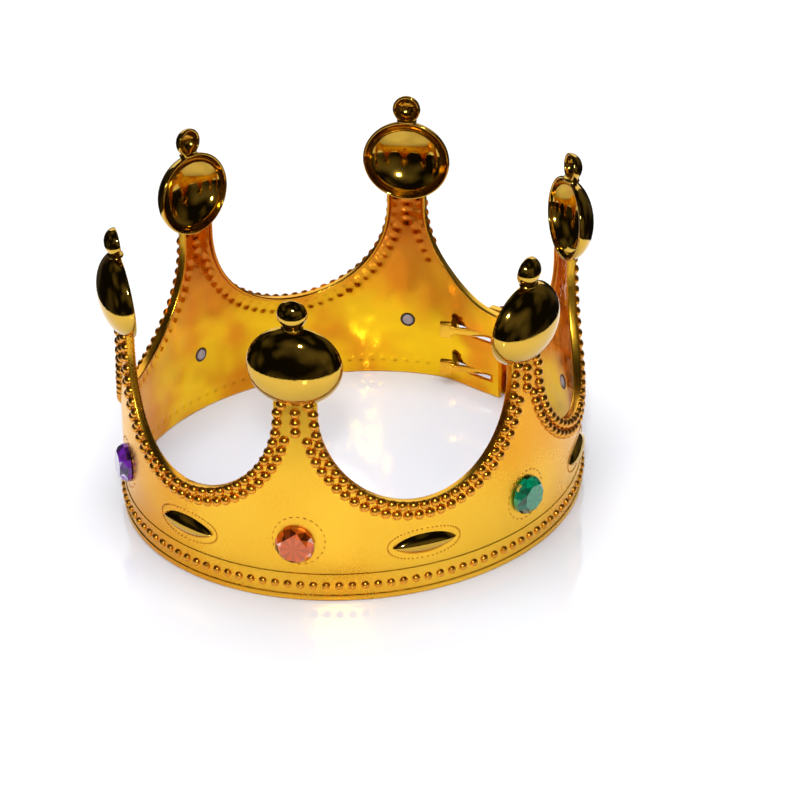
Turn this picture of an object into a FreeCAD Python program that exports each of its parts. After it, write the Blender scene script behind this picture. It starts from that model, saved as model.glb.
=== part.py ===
"""Costume crown: a gold plated plastic strip rolled into a ring and hooked shut with two T tabs.

The frame is in millimetres. Z is up, the base stands on Z = 0, and the origin is the middle
of the ring. The front of the crown faces -Y and the closure is at +Y.

A place on the strip is given by its run, the distance along the strip from the middle of the
front, positive towards +X, and by its offset, the distance outside the ring's base line.
"""
import FreeCAD, Part
import os
from math import atan2, cos, degrees, pi, sin

Vector = FreeCAD.Vector
Rotation = FreeCAD.Rotation
Placement = FreeCAD.Placement

# Ring in plan: an oval, a little longer towards the closure
HALF_DEPTH = 98.0            # half of the ring along Y, over the base border
HALF_WIDTH = 92.0            # half of the ring along X
POINT_PITCH = 100.5          # along the strip, from one point to the next
MEAN_RADIUS = (HALF_DEPTH + HALF_WIDTH) / 2
OVALITY = (HALF_DEPTH - HALF_WIDTH) / (HALF_DEPTH + HALF_WIDTH)
STATION = 2.5                # longest step between the points that a rail is drawn through

# Strip section
BORDER_OUT = 0.0             # outside of the base border
WALL_OUT = -1.0              # outside of the plain wall
WALL_IN = -3.0               # inside of the wall
LIP_IN = -4.6                # inside of the lip that edges the scallops
LIP_THICK = 1.4
BORDER_HEIGHT = 11.9
FRONT_SEAM = 0.12            # gap between the halves in the front valley, taken up as the ring closes

# Scallops and necks
SCALLOP_RADIUS = 41.6
SCALLOP_CENTRE_HEIGHT = 82.0
NECK_TOP = 88.0
TOOL_DEPTH = 60.0            # how far a cutting tool reaches across the wall

# Domes on the points, and the beads on top of them
DOME_HEIGHT = 102.0          # of the dome's centre
DOME_OFFSET = -3.4           # of the rim plane at the dome's centre
DOME_HALF_WIDTH = 18.6
DOME_HALF_HEIGHT = 17.3
DOME_DEPTH = 10.6
DOME_WALL = 1.5
DOME_LEAN = 5.0              # degrees, outwards at the top
BEAD_RISE = 22.8             # from the dome's centre to the bead's centre
BEAD_RADIUS = 5.9
BEAD_DEPTH = 5.0
BEAD_WALL = 1.2
BEAD_STEM_RADIUS = 1.9

# Stick-on gems, one under each point
GEM_HEIGHT = 26.2
GEM_RADIUS = 7.9
GEM_SIDES = 10
GEM_GIRDLE = 1.5
GEM_TABLE_RADIUS = 4.7
GEM_THICK = 4.4
PEG_RADIUS = 2.3
PEG_HOLE_RADIUS = 2.4
PEG_REACH = 2.7              # behind the gem, through the wall
LOOSE_GEM_SHIFT = (-1.3, -1.6)   # the orange gem sits low and left in its ring

# Pointed bosses in the valleys
BOSS_HEIGHT = 21.5
BOSS_HALF_LENGTH = 13.4
BOSS_HALF_HEIGHT = 4.6
BOSS_RISE = 2.6

# Closure at the back
LEFT_END = -300.0            # run of the slotted end
RIGHT_END = 305.0            # run of the tabbed end, which lies outside the slotted one
STEP_START = -262.0          # where the slotted end starts to step inwards
STEP_LENGTH = 30.0
STEP_DEPTH = 4.2
BORDER_STOP = -263.0         # the slotted end has no border beyond this run
SLOT_RUNS = (-295.6, -275.8)
SLOT_TALL = 4.2
TAB_HEIGHTS = {"upper": 26.5, "lower": 8.2}
TAB_ROOT = (-292.0, -2.0)    # run and offset of the neck's root
TAB_TIP = (-268.5, -8.5)     # run and offset of the bar's far face
TAB_ROOT_GAP = 1.7           # clear of the tabbed end while the neck twists
NECK_TALL = 3.2
NECK_THICK = 1.6
BAR_TALL = 7.4
BAR_LONG = 3.2
BAR_THICK = 1.8

# Each point by its name: its place along the strip, in pitches
POINTS = {
    "front_left": -0.5, "side_left": -1.5, "rear_left": -2.5,
    "front_right": 0.5, "side_right": 1.5, "rear_right": 2.5,
}
LOOSE_GEM = "front_right"

# Directions in which shapes are made before on_wall() places them
ALONG = Vector(1, 0, 0)
OUTWARDS = Vector(0, -1, 0)


def turn_at(run):
    """Angle of the oval's parameter at a run: the arc length of a nearly round oval, inverted."""
    return run / MEAN_RADIUS + OVALITY / 2 * sin(2 * run / MEAN_RADIUS)


def heading_at(run):
    """Angle, in degrees, between the strip's direction at a run and the X axis."""
    turn = turn_at(run)
    return degrees(atan2(HALF_DEPTH * sin(turn), HALF_WIDTH * cos(turn)))


def plan_point(run, offset, height=0.0):
    """The point at a run along the strip and an offset outside the base line."""
    turn = turn_at(run)
    heading = heading_at(run) * pi / 180
    x = HALF_WIDTH * sin(turn) + offset * sin(heading)
    y = -HALF_DEPTH * cos(turn) - offset * cos(heading)
    return Vector(x, y, height)


def step_in(run):
    """How far the slotted end is set in, so that it passes inside the tabbed end."""
    share = min(max((STEP_START - run) / STEP_LENGTH, 0.0), 1.0)
    return STEP_DEPTH * share * share * (3 - 2 * share)


def rail(start, end, offset):
    """A smooth curve along the strip at one offset."""
    count = int(abs(end - start) / STATION) + 2
    runs = [start + (end - start) * i / (count - 1) for i in range(count)]
    curve = Part.BSplineCurve()
    curve.interpolate([plan_point(run, offset - step_in(run)) for run in runs])
    return curve.toShape()


def slab(start, end, outside, inside, bottom, top):
    """A curved wall between two runs, two offsets and two heights."""
    outer = rail(start, end, outside)
    inner = rail(end, start, inside)
    close = Part.makeLine(outer.lastVertex().Point, inner.firstVertex().Point)
    back = Part.makeLine(inner.lastVertex().Point, outer.firstVertex().Point)
    face = Part.Face(Part.Wire([outer, close, inner, back]))
    face.translate(Vector(0, 0, bottom))
    return face.extrude(Vector(0, 0, top - bottom))


def on_wall(shape, run, offset, height, lean=0.0):
    """Place a shape made with X along the strip, -Y outwards and Z up."""
    turn = Rotation(Vector(0, 0, 1), heading_at(run))
    tilt = Rotation(Vector(1, 0, 0), lean)
    placed = shape.copy()
    seat = Placement(plan_point(run, offset, height), turn.multiply(tilt))
    placed.Placement = seat.multiply(shape.Placement)
    return placed


def ellipsoid(half_x, half_y, half_z, poles):
    """A solid ellipsoid round the origin, with the poles of its surface along one axis."""
    matrix = FreeCAD.Matrix()
    matrix.scale(half_x, half_y, half_z)
    return Part.makeSphere(1.0, Vector(0, 0, 0), poles).transformGeometry(matrix)


def cup(half_width, half_height, depth, wall):
    """A hollow half ellipsoid that bulges towards -Y, open towards +Y."""
    shell = ellipsoid(half_width, depth, half_height, OUTWARDS)
    hollow = ellipsoid(half_width - wall, depth - wall, half_height - wall, OUTWARDS)
    shell = shell.cut(hollow)
    reach = 2 * max(half_width, half_height, depth)
    keep = Part.makeBox(2 * reach, reach, 2 * reach, Vector(-reach, -reach, -reach))
    return shell.common(keep)


def scallop_tool(grow):
    """The prism that cuts one scallop: a round bottom with straight sides above its centre."""
    half_height = SCALLOP_RADIUS + grow
    half_width = MEAN_RADIUS * sin(SCALLOP_RADIUS / MEAN_RADIUS) + grow
    rod = Part.makeCylinder(1.0, TOOL_DEPTH, Vector(0, -TOOL_DEPTH / 2, 0), Vector(0, 1, 0))
    matrix = FreeCAD.Matrix()
    matrix.scale(half_width, 1.0, half_height)
    above = Part.makeBox(2 * half_width, TOOL_DEPTH, half_height,
                         Vector(-half_width, -TOOL_DEPTH / 2, 0))
    return rod.transformGeometry(matrix).fuse(above)


def panel_span(place):
    """The runs at which a point's panel starts and ends."""
    centre = place * POINT_PITCH
    low = max(centre - POINT_PITCH / 2, LEFT_END)
    high = centre + POINT_PITCH / 2
    if place == max(POINTS.values()):
        high = RIGHT_END
    if low == 0:
        low = FRONT_SEAM / 2
    if high == 0:
        high = -FRONT_SEAM / 2
    return low, high


def gem_place(name):
    """Run and height of a point's gem."""
    run = POINTS[name] * POINT_PITCH
    if name == LOOSE_GEM:
        return run + LOOSE_GEM_SHIFT[0], GEM_HEIGHT + LOOSE_GEM_SHIFT[1]
    return run, GEM_HEIGHT


def boss_halves(low, high):
    """The parts of the pointed bosses that fall on a panel, without the closure's valley."""
    halves = []
    for run in (low, high):
        if abs(run) > 2.5 * POINT_PITCH:
            continue
        boss = ellipsoid(BOSS_HALF_LENGTH, BOSS_RISE, BOSS_HALF_HEIGHT, ALONG)
        boss = on_wall(boss, run, WALL_OUT, BOSS_HEIGHT)
        reach = slab(low, high, WALL_OUT + 2 * BOSS_RISE, (WALL_OUT + WALL_IN) / 2,
                     BORDER_HEIGHT, BOSS_HEIGHT + 2 * BOSS_HALF_HEIGHT)
        halves.append(boss.common(reach))
    return halves


def slots():
    """The two slots in the slotted end."""
    middle = sum(SLOT_RUNS) / 2
    length = SLOT_RUNS[1] - SLOT_RUNS[0]
    for height in TAB_HEIGHTS.values():
        box = Part.makeBox(length, 12.0, SLOT_TALL, Vector(-length / 2, -6.0, -SLOT_TALL / 2))
        yield on_wall(box, middle, WALL_IN - STEP_DEPTH, height)


def dome_body(name):
    """The whole ellipsoid that a point's dome is half of."""
    whole = ellipsoid(DOME_HALF_WIDTH, DOME_DEPTH, DOME_HALF_HEIGHT, OUTWARDS)
    return on_wall(whole, POINTS[name] * POINT_PITCH, DOME_OFFSET, DOME_HEIGHT, DOME_LEAN)


def make_panel(name):
    """The stretch of strip that carries one point, with its neck, lip and base border."""
    low, high = panel_span(POINTS[name])
    centre = POINTS[name] * POINT_PITCH
    valleys = (centre - POINT_PITCH / 2, centre + POINT_PITCH / 2)
    wall = slab(low, high, WALL_OUT, WALL_IN, 0, NECK_TOP)
    lip = slab(low, high, WALL_OUT, LIP_IN, BORDER_HEIGHT, NECK_TOP)
    edges = [on_wall(scallop_tool(LIP_THICK), run, 0, SCALLOP_CENTRE_HEIGHT) for run in valleys]
    border = slab(max(low, BORDER_STOP), high, BORDER_OUT, WALL_IN, 0, BORDER_HEIGHT)
    panel = wall.multiFuse([lip.common(edges[0].fuse(edges[1])), border] + boss_halves(low, high))
    cuts = [on_wall(scallop_tool(0), run, 0, SCALLOP_CENTRE_HEIGHT) for run in valleys]
    cuts.append(dome_body(name))
    run, height = gem_place(name)
    hole = Part.makeCylinder(PEG_HOLE_RADIUS, 12.0, Vector(0, -6.0, 0), Vector(0, 1, 0))
    cuts.append(on_wall(hole, run, WALL_IN, height))
    if low == LEFT_END:
        cuts.extend(slots())
    for tool in cuts:
        panel = panel.cut(tool)
    return max(panel.removeSplitter().Solids, key=lambda solid: solid.Volume)


def make_dome(name):
    """The hollow dome on a point."""
    shell = cup(DOME_HALF_WIDTH, DOME_HALF_HEIGHT, DOME_DEPTH, DOME_WALL)
    return on_wall(shell, POINTS[name] * POINT_PITCH, DOME_OFFSET, DOME_HEIGHT, DOME_LEAN)


def make_bead(name):
    """The hollow bead on top of a dome, with the short stem that joins them."""
    shell = cup(BEAD_RADIUS, BEAD_RADIUS, BEAD_DEPTH, BEAD_WALL)
    stem_low = DOME_HALF_HEIGHT - BEAD_RISE - DOME_WALL / 2
    stem_high = BEAD_WALL / 2 - BEAD_RADIUS
    stem = Part.makeCylinder(BEAD_STEM_RADIUS, stem_high - stem_low, Vector(0, 0, stem_low))
    stem.translate(Vector(0, -BEAD_STEM_RADIUS, 0))
    bead = shell.fuse(stem)
    bead.translate(Vector(0, 0, BEAD_RISE))
    bead = on_wall(bead, POINTS[name] * POINT_PITCH, DOME_OFFSET, DOME_HEIGHT, DOME_LEAN)
    return bead.cut(dome_body(name)).Solids[0]


def polygon(radius, height):
    """A wire of the gem's outline at a height."""
    step = 2 * pi / GEM_SIDES
    corners = [Vector(radius * cos(i * step), radius * sin(i * step), height)
               for i in range(GEM_SIDES + 1)]
    return Part.makePolygon(corners)


def make_gem(name):
    """A faceted gem with a flat back and the peg that holds it in the wall."""
    girdle = Part.makeLoft([polygon(GEM_RADIUS, 0), polygon(GEM_RADIUS, GEM_GIRDLE)], True, True)
    crown = Part.makeLoft([polygon(GEM_RADIUS, GEM_GIRDLE),
                           polygon(GEM_TABLE_RADIUS, GEM_THICK)], True, True)
    peg = Part.makeCylinder(PEG_RADIUS, PEG_REACH, Vector(0, 0, -PEG_REACH))
    gem = girdle.multiFuse([crown, peg]).removeSplitter()
    gem.rotate(Vector(0, 0, 0), Vector(1, 0, 0), 90)
    run, height = gem_place(name)
    return on_wall(gem.Solids[0], run, WALL_OUT, height)


def make_tab(height):
    """A T tab: a neck that slants in through a slot, and the bar that hooks behind it."""
    root = plan_point(TAB_ROOT[0], TAB_ROOT[1], height)
    tip = plan_point(TAB_TIP[0], TAB_TIP[1], height)
    along = tip.sub(root)
    neck = Part.makeBox(along.Length - TAB_ROOT_GAP - BAR_LONG / 2, NECK_THICK, NECK_TALL,
                        Vector(TAB_ROOT_GAP, -NECK_THICK / 2, -NECK_TALL / 2))
    bar = Part.makeBox(BAR_LONG, BAR_THICK, BAR_TALL,
                       Vector(along.Length - BAR_LONG, -BAR_THICK / 2, -BAR_TALL / 2))
    tab = neck.fuse(bar).removeSplitter()
    tab.Placement = Placement(root, Rotation(Vector(1, 0, 0), along))
    return tab


def build():
    """Every node of the crown by name."""
    nodes = {}
    for name in POINTS:
        nodes["panel_" + name] = make_panel(name)
        nodes["dome_" + name] = make_dome(name)
        nodes["bead_" + name] = make_bead(name)
        nodes["gem_" + name] = make_gem(name)
    for name, height in TAB_HEIGHTS.items():
        nodes["tab_" + name] = make_tab(height)
    return nodes


def main():
    os.makedirs("parts", exist_ok=True)
    for name, shape in build().items():
        shape.exportStep(os.path.join("parts", name + ".step"))
        print(name, "volume", round(shape.Volume, 1), "valid", shape.isValid(),
              "solids", len(shape.Solids))


if __name__ == "__main__":
    main()
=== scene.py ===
"""Costume crown: a gold plated plastic strip rolled into a ring, with domes, beads and gems.

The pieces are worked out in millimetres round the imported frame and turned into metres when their
meshes are made. Z is up, the base stands on Z = 0, the front faces -Y and the closure is at +Y.
A place on the strip is its run, the distance along the strip from the middle of the front, its
offset, the distance outside the ring's base line, and its height.
"""
from math import atan2, cos, pi, radians, sin

import bmesh
import bpy
import numpy as np
from bpy.props import FloatProperty, FloatVectorProperty, PointerProperty
from mathutils import Matrix, Vector


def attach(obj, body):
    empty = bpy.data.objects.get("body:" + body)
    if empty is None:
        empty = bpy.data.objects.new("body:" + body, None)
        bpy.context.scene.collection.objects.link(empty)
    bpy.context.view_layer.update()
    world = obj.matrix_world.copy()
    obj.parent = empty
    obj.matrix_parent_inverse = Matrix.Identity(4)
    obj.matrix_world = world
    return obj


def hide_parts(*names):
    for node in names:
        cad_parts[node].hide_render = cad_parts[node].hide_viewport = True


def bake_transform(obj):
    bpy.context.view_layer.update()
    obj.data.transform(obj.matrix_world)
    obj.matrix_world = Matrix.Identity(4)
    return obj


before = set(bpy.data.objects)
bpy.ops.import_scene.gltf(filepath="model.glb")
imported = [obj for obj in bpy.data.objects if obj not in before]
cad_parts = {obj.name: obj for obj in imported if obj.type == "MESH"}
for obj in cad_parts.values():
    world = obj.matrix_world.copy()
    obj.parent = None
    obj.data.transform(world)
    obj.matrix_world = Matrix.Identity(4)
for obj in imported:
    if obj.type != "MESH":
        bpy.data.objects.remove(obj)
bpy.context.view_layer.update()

bl_info = {
    "name": "Costume Crown",
    "version": (1, 0, 0),
    "blender": (4, 5, 0),
    "location": "3D View > Sidebar > Crown",
    "description": "Builds a gold plated costume crown and the stage it stands on",
    "category": "Object",
}

MM = 0.001

# Ring in plan
HALF_DEPTH = 98.0
HALF_WIDTH = 92.0
POINT_PITCH = 100.5
MEAN_RADIUS = (HALF_DEPTH + HALF_WIDTH) / 2
OVALITY = (HALF_DEPTH - HALF_WIDTH) / (HALF_DEPTH + HALF_WIDTH)

# Strip section: offsets, but for the heights of the border and of the middle of its beaded band
BAND_OUT = -0.55             # outside of the beaded band in the border
WALL_OUT = -1.0
WALL_IN = -3.0
BORDER_HEIGHT = 11.9
BAND_HEIGHT = 6.5
FRONT_SEAM = 0.06            # between the two halves, which turn a little against each other

# Lip along a scallop: distance outside its edge and offset, from the wall's outside to its inside
LIP = np.array([(0.6, -1.0), (0.3, -1.06), (0.1, -1.25), (0.0, -1.6), (0.0, -2.5), (0.0, -3.6),
                (0.05, -4.1), (0.22, -4.45), (0.5, -4.6), (0.9, -4.6), (1.18, -4.45),
                (1.35, -4.1), (1.45, -3.5), (1.75, -3.12), (2.3, -3.0)])
LIP_TURN = 9                 # the segment of the lip where the inside's plating starts

# Border: offset and height, across its bottom and up its outside to the wall
BORDER = np.array([(-3.05, 0.8), (-3.0, 0.35), (-2.7, 0.0), (-0.5, 0.0), (-0.12, 0.15),
                   (0.0, 0.5), (0.0, 1.9), (-0.1, 2.25), (-0.5, 2.5), (-0.55, 2.8),
                   (-0.55, 6.5), (-0.55, 11.2), (-0.62, 11.5), (-0.95, 11.7), (-1.0, 11.9)])
BORDER_ROWS = 14             # rows of points up the inside of the border

# Scallops and necks
SCALLOP_RADIUS = 41.6
SCALLOP_CENTRE_HEIGHT = 82.0
HALF_PITCH = POINT_PITCH / 2
NECK_OVERLAP = 0.5           # how far a neck runs into the wall of its dome

# Relief: rows of beads outside a scallop's edge, up the necks and in the border, and dotted rings
NEAR_ROW = 1.6
FAR_ROW = 5.7
NECK_BEAD = (44.9, 85.6)     # distance across and height of the highest bead at a neck's edge
MIDDLE_BEADS = np.array([74.0, 78.1, 82.4])  # heights of the beads up the middle of a neck
EDGE_BEAD_RISE = 1.75
BORDER_BEAD_RISE = 1.35
BORDER_DENT = 0.5
BORDER_DENT_RADIUS = 1.6
GEM_RING_RADIUS = 10.5
GEM_RING_DASHES = 24
GEM_DASH = (0.8, 0.32, 0.28)  # half length, half width and rise of a dash, and of a dot
BOSS_DOT = (0.42, 0.42, 0.35)
BOSS_RING = (15.3, 6.4)      # half length and half height
BOSS_RING_DOTS = 52

# Domes on the points and the beads on top of them
DOME_HEIGHT = 102.0
DOME_OFFSET = -3.4
DOME_HALF_WIDTH = 18.6
DOME_HALF_HEIGHT = 17.3
DOME_DEPTH = 10.6
DOME_WALL = 1.1
DOME_LEAN = radians(5.0)
BEAD_RISE = 22.8
BEAD_RADIUS = 5.9
BEAD_DEPTH = 5.0
BEAD_WALL = 1.2
COLLAR = (4.3, 3.2, 1.3)     # half length, half depth and half height of the collar under a bead
COLLAR_RISE = 17.5

# Gems
GEM_HEIGHT = 26.2
GEM_RADIUS = 7.9
GEM_GIRDLE = 1.5
GEM_TABLE = 5.5
GEM_MIDDLE = 6.75
GEM_MIDDLE_THICK = 3.15
GEM_THICK = 4.4
PEG_RADIUS = 2.3
PEG_REACH = 2.7
PEG_SINK = 3.3               # radius of the sink round a peg inside the wall
# The dark ring in the sink is a painted shadow of the gap round the peg.
PEG_SHADOW_RING = (2.75, 0.5, 0.35)  # radius, half width and half depth of the dark ring in the sink
# Facet brightnesses are painted reflections, drawn at random by these shares; the table has one of
# its own.
FACET_REFLECTION_TONES = [0.04, 0.22, 0.4, 0.52, 0.66, 0.84]
FACET_SHARES = [0.2, 0.22, 0.2, 0.2, 0.12, 0.06]
TABLE_REFLECTION_TONE = 0.5
LOOSE_GEM_SHIFT = (-1.3, -1.6)

# Bosses in the valleys
BOSS_HEIGHT = 21.5
BOSS_HALF_LENGTH = 13.4
BOSS_HALF_HEIGHT = 4.6
BOSS_RISE = 2.6

# Closure
LEFT_END = -300.0
RIGHT_END = 305.0
STEP_START = -262.0
STEP_LENGTH = 30.0
STEP_DEPTH = 4.2
BORDER_STOP = -263.0
SLOT_RUNS = (-295.6, -275.8)
SLOT_TALL = 3.8
TAB_HEIGHTS = {"upper": 26.5, "lower": 8.2}
TAB_ROOT = (-292.0, -2.0)
TAB_TIP = (-268.5, -8.5)

# Stage, in metres
FLOOR_HEIGHT = -0.0002
SHEET_RADIUS = 0.235
ROOM_RADIUS = 7.0
LIGHT_TARGET = (0.0, 0.0, 0.04)
LENS = 151.5
CAMERA_DISTANCE = 1.3949
CAMERA_AZIMUTH = radians(42.83)
CAMERA_ELEVATION = radians(30.21)
CAMERA_ROLL = radians(-0.672)
CAMERA_TARGET = (0.0142, 0.0131, 0.0362)

# Each point: its place along the strip in pitches, and the colour of its gem
POINTS = {
    "front_left": (-0.5, "purple"), "side_left": (-1.5, "green"), "rear_left": (-2.5, "orange"),
    "front_right": (0.5, "orange"), "side_right": (1.5, "green"), "rear_right": (2.5, "purple"),
}
LOOSE_GEM = "front_right"
VALLEYS = np.arange(-3, 4) * POINT_PITCH
BODIES = {"left": "left_half", "right": "right_half"}


class CrownSizes(bpy.types.PropertyGroup):
    """Sizes of the fine relief on the strip."""
    edge_bead: FloatProperty(
        name="Edge bead", description="Radius of a bead in the rows along a scallop",
        default=2.15 * MM, unit="LENGTH")
    edge_pitch: FloatProperty(
        name="Edge pitch", description="Angle between the beads nearest a scallop's edge",
        default=radians(6.0), subtype="ANGLE")
    border_bead: FloatProperty(
        name="Border bead", description="Radius of a bead in the base border",
        default=1.7 * MM, unit="LENGTH")
    border_pitch: FloatProperty(
        name="Border pitch", description="Distance between the beads of the base border",
        default=5.1 * MM, unit="LENGTH")
    dent: FloatProperty(
        name="Dent", description="Depth of the hollow behind a bead, inside the wall",
        default=0.45 * MM, unit="LENGTH")


class CrownColours(bpy.types.PropertyGroup):
    """Colours of the plating and of the gems."""
    outside: FloatVectorProperty(
        name="Outside", description="Plating on the outside of the strip",
        default=(0.93, 0.47, 0.03), subtype="COLOR", min=0.0, max=1.0)
    inside: FloatVectorProperty(
        name="Inside", description="Plating on the inside, low on the wall",
        default=(0.98, 0.58, 0.012), subtype="COLOR", min=0.0, max=1.0)
    # Painted reflection colour: the copper that light bounced between the gold walls gives the
    # inside of the necks.
    inside_neck_reflection: FloatVectorProperty(
        name="Inside neck", description="Plating on the inside of the necks",
        default=(0.60, 0.17, 0.015), subtype="COLOR", min=0.0, max=1.0)
    mirror: FloatVectorProperty(
        name="Domes", description="Bright plating on the domes, beads and bosses",
        default=(0.64, 0.39, 0.052), subtype="COLOR", min=0.0, max=1.0)
    orange: FloatVectorProperty(
        name="Orange gem", description="Body colour of the orange gems",
        default=(0.84, 0.125, 0.004), subtype="COLOR", min=0.0, max=1.0)
    green: FloatVectorProperty(
        name="Green gem", description="Body colour of the green gems",
        default=(0.0, 0.36, 0.16), subtype="COLOR", min=0.0, max=1.0)
    purple: FloatVectorProperty(
        name="Purple gem", description="Body colour of the purple gems",
        default=(0.24, 0.03, 0.55), subtype="COLOR", min=0.0, max=1.0)


# ---------------------------------------------------------------- places on the strip

def turn_at(run):
    """Angle of the oval's parameter: run over the mean radius, plus half the ovality times the
    sine of twice that, which is the arc length of a nearly round oval, inverted."""
    return run / MEAN_RADIUS + OVALITY / 2 * np.sin(2 * run / MEAN_RADIUS)


def heading_at(run):
    """Angle between the strip's direction and X: the arctangent of the oval's two slopes."""
    turn = turn_at(run)
    return np.arctan2(HALF_DEPTH * np.sin(turn), HALF_WIDTH * np.cos(turn))


def step_in(run):
    """How far the slotted end is set in: the step's depth times 3 s squared less 2 s cubed."""
    share = np.clip((STEP_START - run) / STEP_LENGTH, 0.0, 1.0)
    return STEP_DEPTH * share * share * (3 - 2 * share)


def on_strip(run, offset, height):
    """Points at runs, offsets and heights: the oval's point, moved out along its normal."""
    run, offset, height = np.broadcast_arrays(run, offset, height)
    turn, heading = turn_at(run), heading_at(run)
    out = offset - step_in(run)
    x = HALF_WIDTH * np.sin(turn) + out * np.sin(heading)
    y = -HALF_DEPTH * np.cos(turn) - out * np.cos(heading)
    return np.stack([x, y, height], -1)


def on_seat(run, offset, height, along, out, up, lean=0.0):
    """Points of a rigid shape seated at one place: its along, out and up distances times the
    strip's direction, outward normal and Z there, the last two turned outwards by the lean."""
    heading = float(heading_at(run))
    ahead = np.array([cos(heading), sin(heading), 0.0])
    normal = np.array([sin(heading), -cos(heading), 0.0])
    above = np.array([0.0, 0.0, 1.0])
    outwards = normal * cos(lean) - above * sin(lean)
    upwards = above * cos(lean) + normal * sin(lean)
    along, out, up = np.broadcast_arrays(along, out, up)
    seat = on_strip(run, offset, height)
    return (seat + along[..., None] * ahead + out[..., None] * outwards
            + up[..., None] * upwards)


def in_cell(valley, across):
    """Run of a place across a valley: the valley plus the distance, and at the strip's two ends
    plus what the end is short or long, times the square of the share left to the point."""
    extra = 0.0
    if valley < LEFT_END:
        extra = LEFT_END - valley
    elif valley > -LEFT_END:
        extra = RIGHT_END - valley
    return valley + across + extra * (1 - np.abs(across) / HALF_PITCH) ** 2


# ---------------------------------------------------------------- meshes

def grid_faces(rows, columns, wrap=False, wrap_rows=False):
    """Four-sided faces of a grid of points stored row by row. Wrapped, the last column or row
    meets the first. A face points along column direction cross row direction."""
    index = np.arange(rows * columns).reshape(rows, columns)
    if wrap:
        index = np.hstack([index, index[:, :1]])
    if wrap_rows:
        index = np.vstack([index, index[:1]])
    corners = [index[:-1, :-1], index[:-1, 1:], index[1:, 1:], index[1:, :-1]]
    return np.stack(corners, -1).reshape(-1, 4)


def weld(mesh):
    """Join a mesh's doubled points, close its open edges and turn its faces outwards."""
    work = bmesh.new()
    work.from_mesh(mesh)
    bmesh.ops.remove_doubles(work, verts=work.verts, dist=0.002 * MM)
    open_edges = [edge for edge in work.edges if edge.is_boundary]
    bmesh.ops.holes_fill(work, edges=open_edges, sides=0)
    bmesh.ops.recalc_face_normals(work, faces=work.faces)
    work.to_mesh(mesh)
    work.free()


def put(name, data):
    """A new object in the scene, made of a mesh, a light or a camera."""
    made = bpy.data.objects.new(name, data)
    bpy.context.scene.collection.objects.link(made)
    return made


def set_values(mesh, name, kind, domain, values):
    """Keep numbers with the points or faces of a mesh."""
    store = mesh.attributes.new(name, kind, domain)
    socket = "vector" if kind == "FLOAT_VECTOR" else "value"
    store.data.foreach_set(socket, values.astype(np.float32).ravel())


def add_piece(name, patches, finishes, sharp=40.0):
    """One object from patches of points, faces and finish numbers: joined, welded, and smooth but
    for edges sharper than an angle."""
    points = [np.asarray(patch[0]).reshape(-1, 3) for patch in patches]
    starts = np.cumsum([0] + [len(part) for part in points[:-1]])
    faces = [patch[1] + start for patch, start in zip(patches, starts)]
    numbers = [np.broadcast_to(patch[2], len(patch[1])) for patch in patches]
    mesh = bpy.data.meshes.new(name)
    mesh.from_pydata(np.concatenate(points) * MM, [], np.concatenate(faces).tolist())
    mesh.polygons.foreach_set("material_index", np.concatenate(numbers).astype(np.int32))
    weld(mesh)
    for finish in finishes:
        mesh.materials.append(finish)
    mesh.shade_smooth()
    mesh.set_sharp_from_angle(angle=radians(sharp))
    return put(name, mesh)


def caps(run, height, half_along, half_up, rise, tilt=0.0, sides=12, rings=4, base=WALL_OUT):
    """Half ellipsoids on the wall, all at once: the cosine of the level times the cosine and sine
    of the way round, as distances along and up, and the sine of the level times the rise."""
    around = np.linspace(0, 2 * pi, sides, endpoint=False)
    level = np.linspace(-0.12, pi / 2, rings + 1)[:, None]
    along = half_along * np.cos(level) * np.cos(around)
    up = half_up * np.cos(level) * np.sin(around)
    out = base + rise * np.sin(level) + 0 * around
    run, height, tilt = (value[:, None, None] for value in
                         np.broadcast_arrays(np.atleast_1d(run), height, tilt))
    turned_along = along * np.cos(tilt) - up * np.sin(tilt)
    turned_up = along * np.sin(tilt) + up * np.cos(tilt)
    points = on_strip(run + turned_along, out, height + turned_up)
    one = grid_faces(rings + 1, sides, wrap=True)
    starts = np.arange(len(points)) * (rings + 1) * sides
    return points, (one + starts[:, None, None]).reshape(-1, 4), 0


def cup(run, offset, height, lean, half_width, half_height, depth, wall, rise=0.0):
    """A hollow half ellipsoid, closed: inside from its pole to the rim, round the rim, and
    outside from the rim to its pole. Each ring is an ellipse of the level's cosine."""
    around = np.linspace(0, 2 * pi, 64, endpoint=False)
    level = np.linspace(0, pi / 2, 17)
    rim = np.linspace(0, pi, 6)[1:-1]
    grow = np.concatenate([np.full(17, -wall), -wall / 2 - wall / 2 * np.cos(rim), np.zeros(17)])
    ring = np.concatenate([np.cos(level[::-1]), np.ones(4), np.cos(level)])[:, None]
    out = np.concatenate([(depth - wall) * np.sin(level[::-1]), -0.45 * wall * np.sin(rim),
                          depth * np.sin(level)])[:, None]
    along = (half_width + grow)[:, None] * ring * np.cos(around)
    up = (half_height + grow)[:, None] * ring * np.sin(around) + rise
    points = on_seat(run, offset, height, along, out + 0 * around, up, lean)
    return points, grid_faces(len(ring), len(around), wrap=True), 0


def dome_underside(across, offset):
    """Height at which a place on a neck meets the leaning dome: the lower root of the dome's
    ellipsoid, taken as a quadratic in the height above the dome's centre."""
    beside = HALF_PITCH - np.abs(across)
    out = offset - DOME_OFFSET - beside ** 2 / (2 * MEAN_RADIUS)
    c, s = cos(DOME_LEAN), sin(DOME_LEAN)
    tall, deep = DOME_HALF_HEIGHT ** -2, DOME_DEPTH ** -2
    square = c * c * tall + s * s * deep
    middle = out * c * s * (tall - deep)
    rest = out ** 2 * (s * s * tall + c * c * deep) + (beside / DOME_HALF_WIDTH) ** 2 - 1
    root = (middle + np.sqrt(np.maximum(middle ** 2 - square * rest, 0))) / square
    return DOME_HEIGHT - root


# ---------------------------------------------------------------- the strip

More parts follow.
